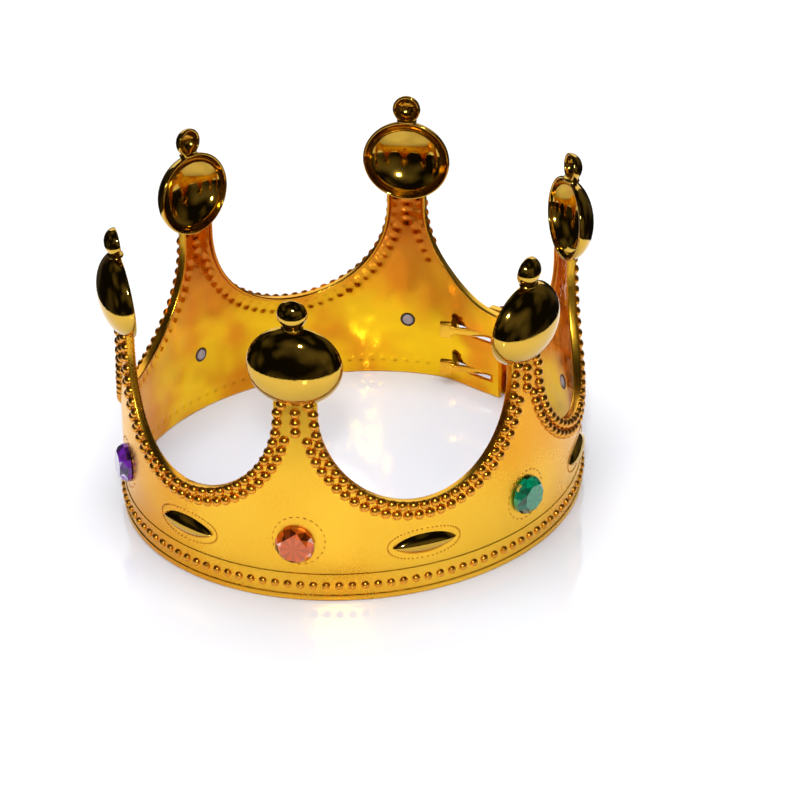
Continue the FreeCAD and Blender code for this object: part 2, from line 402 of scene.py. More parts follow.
def cell_sides(valley):
    """Which sides of a valley belong to the strip: -1 towards lower runs, +1 towards higher."""
    return [side for side in (-1, 1) if abs(valley + side * HALF_PITCH) < -LEFT_END]


def edge_beads(valley):
    """Places across and up of the beads along one scallop: evenly spaced angles on a circle near
    the edge, on a wider circle that stops under the neck, and one more bead at each neck."""
    pitch = bpy.context.scene.crown_sizes.edge_pitch
    near = np.arange(-15, 16) * pitch
    far = (np.arange(-14, 14) + 0.5) * pitch * 0.93
    rows = [(SCALLOP_RADIUS + NEAR_ROW, near), (SCALLOP_RADIUS + FAR_ROW, far)]
    across = np.concatenate([radius * np.sin(row) for radius, row in rows]
                            + [[-NECK_BEAD[0], NECK_BEAD[0]]])
    height = np.concatenate([SCALLOP_CENTRE_HEIGHT - radius * np.cos(row) for radius, row in rows]
                            + [[NECK_BEAD[1], NECK_BEAD[1]]])
    keep = np.isin(np.sign(np.round(across, 3)), cell_sides(valley) + [0])
    return across[keep], height[keep]


def border_runs():
    """Runs of the beads in the base border, from the end of the border to the tabbed end."""
    pitch = bpy.context.scene.crown_sizes.border_pitch / MM
    return np.arange(BORDER_STOP + 2.5, RIGHT_END - 1.5, pitch)


def dent_at(across, height, bead_across, bead_height):
    """Depth of the hollows behind beads: the full depth times one less the squared distance
    over the hollow's radius squared, itself squared, and nothing beyond that radius, which is
    a quarter more than the bead's."""
    sizes = bpy.context.scene.crown_sizes
    gap = ((across[..., None] - bead_across) ** 2 + (height[..., None] - bead_height) ** 2)
    share = np.clip(1 - gap / (1.25 * sizes.edge_bead / MM) ** 2, 0, 1)
    return sizes.dent / MM * (share ** 2).max(-1)


def cell_path(sides):
    """Angles round one scallop from -90 to 90 degrees with the neck's share at each end, and the
    greatest angle whose ray still meets the border before the middle of the point."""
    reach = SCALLOP_CENTRE_HEIGHT - BORDER_HEIGHT
    corner = atan2(HALF_PITCH, reach)
    low = np.linspace(0, corner, 71)
    high = np.linspace(corner, pi / 2, 56)[1:]
    up = np.linspace(0, 1, 10)[1:]
    angle = np.concatenate([low, high, np.full(len(up), pi / 2)])
    share = np.concatenate([0 * low, 0 * high, up])
    halves = {-1: (-angle[::-1], share[::-1]), 1: (angle, share)}
    if len(sides) == 1:
        return *halves[sides[0]], corner
    left, right = halves[-1], halves[1]
    return np.append(left[0], right[0][1:]), np.append(left[1], right[1][1:]), corner


def wall_patch(valley):
    """The wall round one scallop. The columns follow the scallop's edge, and the rows go from the
    border or the middle of the point up to the edge, over the rounded lip, and back down the
    inside. A point lies at the scallop's radius plus its row's distance from the centre."""
    sides = cell_sides(valley)
    angle, share, corner = cell_path(sides)
    reach = SCALLOP_CENTRE_HEIGHT - BORDER_HEIGHT
    to_border = reach / np.cos(np.minimum(np.abs(angle), corner))
    to_point = HALF_PITCH / np.maximum(np.abs(np.sin(angle)), 0.1)
    far = np.where(np.abs(angle) <= corner + 1e-9, to_border, to_point) - SCALLOP_RADIUS
    rise = np.linspace(1, 0, 9)[:-1, None] ** 1.5
    outer = LIP[0, 0] + (far - LIP[0, 0]) * rise
    near = LIP[-1, 0] + 0.75 * np.arange(1, 9)[:, None] + 0 * far
    deep = near[-1] + (far - near[-1]) * np.linspace(0, 1, 9)[1:, None]
    distance = np.vstack([outer, LIP[:, :1] + 0 * far, near, deep])
    offset = np.concatenate([np.full(len(outer), WALL_OUT), LIP[:, 1],
                             np.full(len(near) + len(deep), WALL_IN)])[:, None] + 0 * far
    across = (SCALLOP_RADIUS + distance) * np.sin(angle)
    height = SCALLOP_CENTRE_HEIGHT - (SCALLOP_RADIUS + distance) * np.cos(angle)
    top = dome_underside(across, offset) + NECK_OVERLAP
    height = height + share * (top - SCALLOP_CENTRE_HEIGHT)
    first = len(outer) + len(LIP)
    bead_across, bead_height = edge_beads(valley)
    for side in sides:
        bead_across = np.append(bead_across, 0 * MIDDLE_BEADS + side * HALF_PITCH)
        bead_height = np.append(bead_height, MIDDLE_BEADS)
    run = in_cell(valley, across)
    dent = dent_at(across[first:], height[first:], bead_across, bead_height)
    offset[first:] += np.where(run[first:] > STEP_START, dent, 0)
    number = np.repeat((np.arange(len(distance) - 1) >= len(outer) + LIP_TURN).astype(int),
                       len(angle) - 1)
    return on_strip(run, offset, height), grid_faces(*run.shape), number


def border_patch(valley):
    """The base border under one scallop, on the wall's own runs. Its rows go down the inside,
    across the bottom and up the outside, past a bottom lip and a step into the beaded band."""
    angle, _, corner = cell_path(cell_sides(valley))
    angle = angle[np.abs(angle) <= corner + 1e-9]
    run = in_cell(valley, (SCALLOP_CENTRE_HEIGHT - BORDER_HEIGHT) * np.tan(angle))
    inside = np.linspace(BORDER_HEIGHT, 1.6, BORDER_ROWS)
    rows = np.vstack([np.stack([0 * inside + WALL_IN, inside], -1), BORDER])
    offset = rows[:, :1] + 0 * run
    height = rows[:, 1:] + 0 * run
    gap = (run[:, None] - border_runs()) ** 2
    share = 1 - (gap.min(1) + (height[:BORDER_ROWS] - BAND_HEIGHT) ** 2) / BORDER_DENT_RADIUS ** 2
    dent = BORDER_DENT * np.clip(share, 0, 1) ** 2
    offset[:BORDER_ROWS] += np.where(run > BORDER_STOP, dent, 0)
    plain = (run < BORDER_STOP) & (offset > WALL_OUT)
    offset = np.where(plain, WALL_OUT, offset)
    number = np.repeat((np.arange(len(rows) - 1) <= BORDER_ROWS).astype(int), len(run) - 1)
    return on_strip(run, offset, height), grid_faces(*offset.shape), number


def keep_side(patch, side):
    """The part of a patch on one side of the middle of the front, its end half a seam back."""
    points, faces, number = patch
    flat = points.reshape(-1, 3)
    toward = 1 if side == "right" else -1
    keep = flat[faces].mean(1)[:, 0] * toward > 0
    end = np.abs(flat[:, 0]) < FRONT_SEAM / 4
    flat = np.where(end[:, None], flat + [toward * FRONT_SEAM / 2, 0, 0], flat)
    used, faces = np.unique(faces[keep], return_inverse=True)
    return flat[used], faces.reshape(-1, 4), number[keep]


def box_tool(run, offset, height, size):
    """A box as a cutting tool, seated on the strip."""
    corner = np.array([-0.5, 0.5])
    up, out, along = np.meshgrid(corner * size[2], corner * size[1], corner * size[0],
                                 indexing="ij")
    points = on_seat(run, offset, height, along, out, up).reshape(-1, 3)
    faces = np.array([(0, 1, 3, 2), (4, 6, 7, 5), (0, 4, 5, 1), (2, 3, 7, 6), (0, 2, 6, 4),
                      (1, 5, 7, 3)])
    return points, faces, 0


def sink_tool(run, height):
    """A short round tool that sinks the inside of the wall round the end of a peg."""
    around = np.linspace(0, 2 * pi, 32, endpoint=False)
    out = np.array([-1.5, 1.5])[:, None] + 0 * around
    along = PEG_SINK * np.cos(around) + 0 * out
    up = PEG_SINK * np.sin(around) + 0 * out
    points = on_seat(run, WALL_IN - 0.6, height, along, out, up)
    return points, grid_faces(2, 32, wrap=True), 0


def cut_with(piece, patches):
    """Cut tools out of a piece and keep the result as its own mesh."""
    tool = add_piece("cutting_tool", patches, [])
    cut = piece.modifiers.new("cut", "BOOLEAN")
    cut.object = tool
    cut.solver = "EXACT"
    graph = bpy.context.evaluated_depsgraph_get()
    old = piece.data
    fresh = bpy.data.meshes.new_from_object(piece.evaluated_get(graph))
    piece.modifiers.clear()
    piece.data = fresh
    bpy.data.meshes.remove(old)
    fresh.name = piece.name
    tool_mesh = tool.data
    bpy.data.objects.remove(tool)
    bpy.data.meshes.remove(tool_mesh)


def gem_place(name):
    """Run and height of a point's gem."""
    run = POINTS[name][0] * POINT_PITCH
    if name == LOOSE_GEM:
        return run + LOOSE_GEM_SHIFT[0], GEM_HEIGHT + LOOSE_GEM_SHIFT[1]
    return run, GEM_HEIGHT


def of_side(side):
    """Names of the points on one side, left or right."""
    return [name for name in POINTS if name.endswith(side)]


# ---------------------------------------------------------------- finishes

class Wire:
    """A shader socket that takes part in sums: each operator adds one Math node."""

    def __init__(self, nodes, socket):
        self.nodes = nodes
        self.socket = socket

    def math(self, operation, *values):
        sockets = dict(enumerate(values))
        return self.nodes.node("ShaderNodeMath", {"operation": operation}, sockets)

    def __add__(self, other):
        return self.math("ADD", self, other)

    def __mul__(self, other):
        return self.math("MULTIPLY", self, other)

    def __gt__(self, other):
        return self.math("GREATER_THAN", self, other)

    def __mod__(self, other):
        return self.math("FLOORED_MODULO", self, other)

    __radd__ = __add__
    __rmul__ = __mul__


class Nodes:
    """A node tree under construction."""

    def __init__(self, tree):
        self.tree = tree

    def node(self, kind, settings=(), sockets=(), output=0):
        """Add a node: its settings first, then the values or links of its sockets."""
        made = self.tree.nodes.new(kind)
        for name, value in dict(settings).items():
            if name == "stops":
                elements = made.color_ramp.elements
                elements.remove(elements[-1])
                elements[0].position, elements[0].color = value[0]
                for place, colour in value[1:]:
                    elements.new(place).color = colour
            else:
                setattr(made, name, value)
        for name, value in dict(sockets).items():
            if isinstance(value, Wire):
                self.tree.links.new(value.socket, made.inputs[name])
            else:
                made.inputs[name].default_value = value
        return Wire(self, made.outputs[output])

    def place(self):
        """The object's own coordinates, in metres."""
        return self.node("ShaderNodeTexCoord", output="Object")

    def noise(self, scale, detail=2.0, place=None):
        """Noise at so many cells a metre, in the object's own coordinates or in others."""
        return self.node("ShaderNodeTexNoise", {},
                         {"Vector": place or self.place(), "Scale": scale, "Detail": detail})

    def smooth(self, value, low, high, start=0.0, end=1.0):
        """A smooth step of a value from one number to another."""
        return self.node("ShaderNodeMapRange", {"interpolation_type": "SMOOTHSTEP"},
                         {0: value, 1: low, 2: high, 3: start, 4: end})

    def mix(self, share, first, second):
        """A colour between two colours."""
        return self.node("ShaderNodeMix", {"data_type": "RGBA"}, {0: share, 6: first, 7: second},
                         output=2)

    def length(self, vector):
        """The length of a vector."""
        return self.node("ShaderNodeVectorMath", {"operation": "LENGTH"}, {0: vector},
                         output="Value")

    def relief(self, height, strength, distance=0.0003):
        """A bump from a height."""
        return self.node("ShaderNodeBump", {},
                         {"Strength": strength, "Distance": distance, "Height": height},
                         output="Normal")


class Finish(Nodes):
    """A material under construction: one shader whose constant sockets are set at the start."""

    def __init__(self, name, **constants):
        self.material = bpy.data.materials.new(name)
        self.material.use_nodes = True
        super().__init__(self.material.node_tree)
        self.tree.nodes.clear()
        self.shader = self.tree.nodes.new("ShaderNodeBsdfPrincipled")
        output = self.tree.nodes.new("ShaderNodeOutputMaterial")
        self.tree.links.new(self.shader.outputs[0], output.inputs[0])
        for socket, value in constants.items():
            self.shader.inputs[socket.replace("_", " ")].default_value = value

    def feed(self, **links):
        """Link sums to the shader's varying sockets."""
        for socket, wire in links.items():
            self.tree.links.new(wire.socket, self.shader.inputs[socket.replace("_", " ")])
        return self.material


def shade(colour, factor=1.0):
    """A colour as four numbers, made lighter or darker by one factor or by one a channel."""
    return (*np.minimum(1.0, np.multiply(colour, factor)).tolist(), 1.0)


def plated_outside(colours):
    """Satin gold plating: broad patches of darker orange and brighter yellow in its colour, a
    painted sheen of reflections, and fine unevenness in its gloss and surface.
    """
    finish = Finish("plated_outside", Metallic=1.0)
    reflection_clouds = finish.noise(14.0)
    grain = finish.noise(1300.0)
    # Painted sheen: broad noise between a darker and a brighter copy of the plating's colour.
    colour = finish.mix(finish.smooth(reflection_clouds + grain * 0.25, 0.42, 0.8),
                        shade(colours.outside, (0.9, 0.74, 0.5)),
                        shade(colours.outside, (1.08, 1.22, 1.5)))
    gloss = finish.smooth(reflection_clouds, 0.3, 0.7, 0.2, 0.3) + grain * 0.05
    return finish.feed(Base_Color=colour, Roughness=gloss, Normal=finish.relief(grain, 0.045))


def plated_inside(colours):
    """Gold plating over the back of the moulding: yellow below, turning to copper on the necks as
    a painted reflection of light bounced between the gold walls, with broad patches of deeper
    orange and brighter yellow as painted reflections, and a slow waviness from the mould in its
    surface."""
    finish = Finish("plated_inside", Metallic=1.0)
    height = finish.node("ShaderNodeSeparateXYZ", {}, {0: finish.place()}, output=2)
    waves_and_reflections = finish.noise(34.0)
    # Painted reflection: copper rising up the wall onto the necks, for light bounced between the
    # gold walls.
    neck_reflection_rise = finish.smooth(height + waves_and_reflections * 0.03, 0.035, 0.088)
    # Painted reflections: broad patches of deeper orange and brighter yellow.
    reflection_clouds = finish.mix(finish.smooth(waves_and_reflections, 0.35, 0.62),
                        shade(colours.inside, (0.8, 0.5, 1.0)), shade(colours.inside, 1.06))
    colour = finish.mix(neck_reflection_rise, reflection_clouds, shade(colours.inside_neck_reflection))
    grain = finish.noise(900.0)
    return finish.feed(Base_Color=colour, Roughness=0.05 + grain * 0.07,
                       Normal=finish.relief(waves_and_reflections + grain * 0.02, 0.5, 0.004))


def plated_mirror(colours):
    """Bright gold plating, almost a mirror, with a faint haze and tiny pits."""
    finish = Finish("plated_mirror", Metallic=1.0)
    haze = finish.noise(90.0, 4.0)
    colour = finish.mix(haze, shade(colours.mirror, 0.9), shade(colours.mirror, 1.06))
    return finish.feed(Base_Color=colour,
                       Roughness=finish.smooth(haze, 0.35, 0.75, 0.045, 0.12),
                       Normal=finish.relief(finish.noise(900.0), 0.05))


def plated_beads_painted_shade(colours):
    """The strip's plating on the small beads: a darker, browner copy of the wall's colour, painted
    shade for the darker look of the beads, with a little of its grain."""
    finish = Finish("plated_beads_painted_shade", Metallic=1.0)
    grain = finish.noise(800.0)
    # Painted shade: a darkened copy of the outside colour.
    colour = finish.mix(grain, shade(colours.outside, (0.8, 0.68, 1.0)),
                        shade(colours.outside, (0.96, 0.816, 1.2)))
    return finish.feed(Base_Color=colour, Roughness=0.26 + grain * 0.1,
                       Normal=finish.relief(grain, 0.06))


def gem_finish(name, colour):
    """Clear coloured plastic over a foil back, with painted reflections: each facet gets its own
    brightness, drawn at random for the light it reflects, and through the table the back facets
    show as painted wedges, light and dark by turns. The palest stop is a painted glint."""
    finish = Finish("gem_" + name, Coat_Weight=1.0, Coat_Roughness=0.02, IOR=1.5)
    reflection_tone = finish.node("ShaderNodeAttribute", {"attribute_name": "facet_tone"}, output="Fac")
    place = finish.node("ShaderNodeAttribute", {"attribute_name": "gem_place"}, output="Vector")
    parts = finish.node("ShaderNodeSeparateXYZ", {}, {0: place})
    up = Wire(finish, parts.socket.node.outputs[1])
    angle = up.math("ARCTAN2", up, parts)
    # Painted reflection of the back facets: wedges round the table, light and dark by turns.
    wedge_reflection = (angle * (8 / pi) + 0.5) % 2.0 > 1.0
    inner = finish.smooth(finish.length(place), 0.24, 0.3)
    reflection_total = reflection_tone + wedge_reflection * (0.1 + inner * 0.05)
    # The palest stop, mixed with white, is a painted glint; brighter facets are also more
    # metallic.
    glint_colour = tuple(0.55 + 0.45 * channel for channel in colour)
    stops = [(0.0, shade(colour, 0.04)), (0.3, shade(colour, 0.25)), (0.62, shade(colour, 0.7)),
             (0.9, shade(colour, 1.05)), (1.0, shade(glint_colour))]
    body = finish.node("ShaderNodeValToRGB", {"stops": stops}, {0: reflection_total})
    return finish.feed(Base_Color=body, Metallic=finish.smooth(reflection_total, 0.5, 1.0, 0.1, 0.3),
                       Roughness=0.06 + finish.noise(300.0) * 0.06)


def bare_and_shade_finish(_):
    """Dark plastic where the plating doesn't reach, used also as painted shade: on the ring round
    each peg and on the tabs' side that faces the wall.
    """
    finish = Finish("bare_plastic_and_painted_shade", Coat_Weight=0.2, IOR=1.5)
    cloud = finish.noise(500.0)
    colour = finish.mix(cloud, (0.012, 0.006, 0.003, 1.0), (0.05, 0.022, 0.008, 1.0))
    return finish.feed(Base_Color=colour, Roughness=0.3 + cloud * 0.15)


def peg_finish(_):
    """Greyish clear plastic of a gem's peg."""
    finish = Finish("peg_plastic", Coat_Weight=0.4, IOR=1.5)
    cloud = finish.noise(700.0)
    colour = finish.mix(cloud, (0.20, 0.15, 0.16, 1.0), (0.42, 0.36, 0.38, 1.0))
    return finish.feed(Base_Color=colour, Roughness=0.3 + cloud * 0.1,
                       Normal=finish.relief(cloud, 0.1))


MAKERS = {"outside": plated_outside, "inside": plated_inside, "mirror": plated_mirror,
          "beads": plated_beads_painted_shade, "peg": peg_finish, "bare_and_shade": bare_and_shade_finish}
FINISHES = {}


def finish_of(name):
    """A finish by name, or a gem's by its colour, made the first time it is asked for."""
    colours = bpy.context.scene.crown_colours
    if name not in FINISHES:
        FINISHES[name] = (MAKERS[name](colours) if name in MAKERS
                          else gem_finish(name, getattr(colours, name)))
    return FINISHES[name]


# ---------------------------------------------------------------- operators

class CROWN_OT_band(bpy.types.Operator):
    """Add the two halves of the strip, with scallops, lips, necks, border and slots"""
    bl_idname = "crown.band"
    bl_label = "Strip"

    def execute(self, context):
        sides = {"left": VALLEYS[VALLEYS <= 0], "right": VALLEYS[VALLEYS >= 0]}
        for side, valleys in sides.items():
            patches = []
            for valley in valleys:
                for patch in (wall_patch(valley), border_patch(valley)):
                    patches.append(keep_side(patch, side) if valley == 0 else patch)
            band = add_piece("strip_" + side, patches, [finish_of("outside"), finish_of("inside")])
            tools = [sink_tool(*gem_place(name)) for name in of_side(side)]
            if side == "left":
                size = (SLOT_RUNS[1] - SLOT_RUNS[0], 12.0, SLOT_TALL)
                tools += [box_tool(sum(SLOT_RUNS) / 2, WALL_IN, height, size)
                          for height in TAB_HEIGHTS.values()]
            cut_with(band, tools)
            band.data.set_sharp_from_angle(angle=radians(40))
            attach(band, BODIES[side])
            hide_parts(*("panel_" + name for name in of_side(side)))
        return {"FINISHED"}


class CROWN_OT_beading(bpy.types.Operator):
    """Add the rows of small beads along the scallops and the border, and the dotted rings"""
    bl_idname = "crown.beading"
    bl_label = "Beading"

    def execute(self, context):
        sizes = context.scene.crown_sizes
        bead = sizes.edge_bead / MM
        small = sizes.border_bead / MM
        for name, (place, _) in POINTS.items():
            side = name.split("_")[1]
            centre = place * POINT_PITCH
            runs, heights = [], []
            for valley, toward in ((centre - HALF_PITCH, 1), (centre + HALF_PITCH, -1)):
                across, height = edge_beads(valley)
                half = np.sign(np.round(across, 3)) == toward
                if toward == 1:
                    half |= np.round(across, 3) == 0
                runs.append(in_cell(valley, across[half]))
                heights.append(height[half])
            runs = np.concatenate(runs + [0 * MIDDLE_BEADS + centre])
            heights = np.concatenate(heights + [MIDDLE_BEADS])
            shown = runs > STEP_START
            patches = [caps(runs[shown], heights[shown], bead, bead, EDGE_BEAD_RISE)]
            border = border_runs()
            border = border[(border > centre - HALF_PITCH) & (border <= centre + HALF_PITCH + 4)]
            if name != "rear_right":
                border = border[border <= centre + HALF_PITCH]
            patches.append(caps(border, BAND_HEIGHT, small, small, BORDER_BEAD_RISE,
                                base=BAND_OUT))
            turn = np.linspace(0, 2 * pi, GEM_RING_DASHES, endpoint=False)
            patches.append(caps(centre + GEM_RING_RADIUS * np.cos(turn),
                                GEM_HEIGHT + GEM_RING_RADIUS * np.sin(turn),
                                *GEM_DASH, tilt=turn + pi / 2, sides=8, rings=2))
            dots = self.boss_dots(centre)
            patches.append(caps(dots[:, 0], dots[:, 1], *BOSS_DOT, sides=8, rings=2))
            piece = add_piece("beading_" + name, patches, [finish_of("beads")])
            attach(piece, BODIES[side])
        return {"FINISHED"}

    @staticmethod
    def boss_dots(centre):
        """The dots round the bosses at both ends of a panel, as far as they lie on it: points of
        a flattened ellipse, evenly spaced by the way round."""
        turn = (np.arange(BOSS_RING_DOTS) + 0.5) / BOSS_RING_DOTS * 2 * pi
        along, up = (half * np.sign(wave) * np.abs(wave) ** 0.9
                     for half, wave in zip(BOSS_RING, (np.cos(turn), np.sin(turn))))
        dots = []
        for valley in (centre - HALF_PITCH, centre + HALF_PITCH):
            if abs(valley) > 2.5 * POINT_PITCH:
                continue
            keep = along * (centre - valley) > 0
            dots.append(np.stack([valley + along[keep], BOSS_HEIGHT + up[keep]], -1))
        return np.concatenate(dots)


class CROWN_OT_bosses(bpy.types.Operator):
    """Add the almond-shaped bosses in the valleys"""
    bl_idname = "crown.bosses"
    bl_label = "Bosses"

    def execute(self, context):
        names = {0: "front", 1: "side_right", 2: "rear_right", -1: "side_left", -2: "rear_left"}
        for place, name in names.items():
            boss = add_piece("boss_" + name, [self.almond(place * POINT_PITCH)],
                             [finish_of("mirror")])
            if place == 0:
                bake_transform(boss)
            else:
                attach(boss, BODIES[name.split("_")[1]])
        return {"FINISHED"}

    @staticmethod
    def almond(run):
        """An almond with rounded ends: its half height is one less the share along to the power
        2.2, to the power 0.8, and its rise falls with the share across to the power 1.8."""
        along = np.sin(np.linspace(-pi / 2, pi / 2, 49))
        across = np.sin(np.linspace(-pi / 2, pi / 2, 19))[:, None]
        half = (1 - np.abs(along) ** 2.2) ** 0.8
        height = BOSS_HEIGHT + BOSS_HALF_HEIGHT * half * across
        lift = np.sqrt(half) * (1 - np.abs(across) ** 1.8)
        offset = WALL_OUT - 0.15 + (BOSS_RISE + 0.15) * lift
        runs = run + BOSS_HALF_LENGTH * along + 0 * across
        return on_strip(runs, offset, height), grid_faces(*runs.shape), 0


class CROWN_OT_domes(bpy.types.Operator):
    """Add the hollow domes on the points"""
    bl_idname = "crown.domes"
    bl_label = "Domes"

    def execute(self, context):
        for name, (place, _) in POINTS.items():
            patch = cup(place * POINT_PITCH, DOME_OFFSET, DOME_HEIGHT, DOME_LEAN,
                        DOME_HALF_WIDTH, DOME_HALF_HEIGHT, DOME_DEPTH, DOME_WALL)
            dome = add_piece("bright_dome_" + name, [patch], [finish_of("mirror")])
            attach(dome, BODIES[name.split("_")[1]])
            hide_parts("dome_" + name)
        return {"FINISHED"}


class CROWN_OT_beads(bpy.types.Operator):
    """Add the hollow beads on top of the domes, each with its collar"""
    bl_idname = "crown.beads"
    bl_label = "Top beads"

    def execute(self, context):
        for name, (place, _) in POINTS.items():
            run = place * POINT_PITCH
            patches = [cup(run, DOME_OFFSET, DOME_HEIGHT, DOME_LEAN, BEAD_RADIUS, BEAD_RADIUS,
                           BEAD_DEPTH, BEAD_WALL, BEAD_RISE), self.collar(run)]
            bead = add_piece("top_bead_" + name, patches, [finish_of("mirror")])
            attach(bead, BODIES[name.split("_")[1]])
            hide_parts("bead_" + name)
        return {"FINISHED"}

    @staticmethod
    def collar(run):
        """A flat ellipsoid between dome and bead."""
        around = np.linspace(0, 2 * pi, 40, endpoint=False)
        level = np.linspace(-pi / 2, pi / 2, 13)[:, None]
        along = COLLAR[0] * np.cos(level) * np.cos(around)
        out = 1.2 + COLLAR[1] * np.cos(level) * np.sin(around)
        up = COLLAR_RISE + COLLAR[2] * np.sin(level) + 0 * around
        points = on_seat(run, DOME_OFFSET, DOME_HEIGHT, along, out, up, DOME_LEAN)
        return points, grid_faces(13, 40, wrap=True), 0


class CROWN_OT_gems(bpy.types.Operator):
    """Add the six faceted gems with their pegs"""
    bl_idname = "crown.gems"
    bl_label = "Gems"

    def execute(self, context):
        for seed, (name, (_, colour)) in enumerate(POINTS.items()):
            gem = self.faceted(name, colour, seed)
            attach(gem, BODIES[name.split("_")[1]])
            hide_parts("gem_" + name)
        return {"FINISHED"}

    @staticmethod
    def stone():
        """A round gem: rings of sixteen points at the back and the girdle, eight between them and
        the table, and eight round the table, each at a radius, a height and a way round."""
        def ring(count, radius, out, shift=0.0):
            around = (np.arange(count) + shift) / count * 2 * pi + pi / 16
            return np.stack([radius * np.cos(around), np.full(count, out),
                             radius * np.sin(around)], -1)
        points = np.vstack([ring(16, GEM_RADIUS, 0.0), ring(16, GEM_RADIUS, GEM_GIRDLE),
                            ring(8, GEM_MIDDLE, GEM_MIDDLE_THICK, 0.5),
                            ring(8, GEM_TABLE, GEM_THICK)])
        faces = [tuple(range(15, -1, -1)), tuple(range(40, 48))]
        faces += [(i, (i + 1) % 16, 16 + (i + 1) % 16, 16 + i) for i in range(16)]
        for i in range(8):
            middle, before = 32 + i, 32 + (i - 1) % 8
            girdle = [16 + (2 * i + k) % 16 for k in range(3)]
            faces += [(girdle[0], girdle[1], middle), (girdle[1], girdle[2], middle),
                      (middle, 40 + (i + 1) % 8, 40 + i), (40 + i, before, girdle[0], middle)]
        return points, [face[::-1] for face in faces]

    @staticmethod
    def turned(radius, out):
        """Points of a profile turned round the gem's axis: its radius times the cosine and sine
        of the way round, and its distance out."""
        around = np.linspace(0, 2 * pi, 24, endpoint=False)
        radius, out = np.array(radius)[:, None], np.array(out)[:, None] + 0 * around
        return np.stack([radius * np.cos(around), out, radius * np.sin(around)], -1).reshape(-1, 3)

    def faceted(self, name, colour, seed):
        """One gem with its peg and a dark ring, a painted shadow, where the peg meets the inside
        of the wall.
        """
        stone, faces = self.stone()
        peg = self.turned(PEG_RADIUS * np.array([1.0, 1.0, 0.93, 0.75, 0.0]),
                          [0.2, 0.6 - PEG_REACH, 0.25 - PEG_REACH, 0.05 - PEG_REACH, -PEG_REACH])
        tube = np.linspace(0, 2 * pi, 8, endpoint=False)
        ring = self.turned(PEG_SHADOW_RING[0] + PEG_SHADOW_RING[1] * np.cos(tube),
                           WALL_IN - WALL_OUT + PEG_SHADOW_RING[2] * np.sin(tube))
        faces += (grid_faces(5, 24, wrap=True) + len(stone))[:, ::-1].tolist()
        faces += (grid_faces(8, 24, True, True) + len(stone) + len(peg)).tolist()
        run, height = gem_place(name)
        points = on_seat(run, WALL_OUT, height, *np.vstack([stone, peg, ring]).T)
        mesh = bpy.data.meshes.new("cut_gem_" + name)
        mesh.from_pydata(points * MM, [], faces)
        weld(mesh)
        for finish in (colour, "peg", "bare_and_shade"):
            mesh.materials.append(finish_of(finish))
        self.mark(mesh, run, height, seed)
        mesh.shade_flat()
        return put("cut_gem_" + name, mesh)

    @staticmethod
    def mark(mesh, run, height, seed):
        """Keep each point's place across the gem, as a share of its radius, and a brightness for
        each facet, a painted reflection, and give the peg and the ring, a painted shadow, their
        finishes."""
        centre = on_seat(run, WALL_OUT, height, 0.0, 0.0, 0.0)
        axes = np.array([on_seat(run, WALL_OUT, height, *unit) - centre for unit in np.eye(3)])
        points = np.empty(len(mesh.vertices) * 3)
        mesh.vertices.foreach_get("co", points)
        points = (points.reshape(-1, 3) / MM - centre) @ axes.T
        set_values(mesh, "gem_place", "FLOAT_VECTOR", "POINT",
                   points[:, [0, 2, 1]] / GEM_RADIUS * [1, 1, 0])
        middles = np.empty(len(mesh.polygons) * 3)
        mesh.polygons.foreach_get("center", middles)
        middles = (middles.reshape(-1, 3) / MM - centre) @ axes.T
        # Painted reflections: a random brightness for each facet and one for the table.
        reflection_tones = np.random.default_rng(seed + 11).choice(
            FACET_REFLECTION_TONES, len(mesh.polygons), p=FACET_SHARES)
        reflection_tones[middles[:, 1] > GEM_THICK - 0.05] = TABLE_REFLECTION_TONE
        set_values(mesh, "facet_tone", "FLOAT", "FACE", reflection_tones)
        beside = np.hypot(middles[:, 0], middles[:, 2])
        number = np.where((middles[:, 1] < 0.2) & (beside < PEG_RADIUS + 0.1), 1, 0)
        # The ring is dark unplated plastic, a painted shadow of the gap round the peg.
        number[(middles[:, 1] < -1.0) & (beside > PEG_RADIUS - 0.02)] = 2
        mesh.polygons.foreach_set("material_index", number.astype(np.int32))


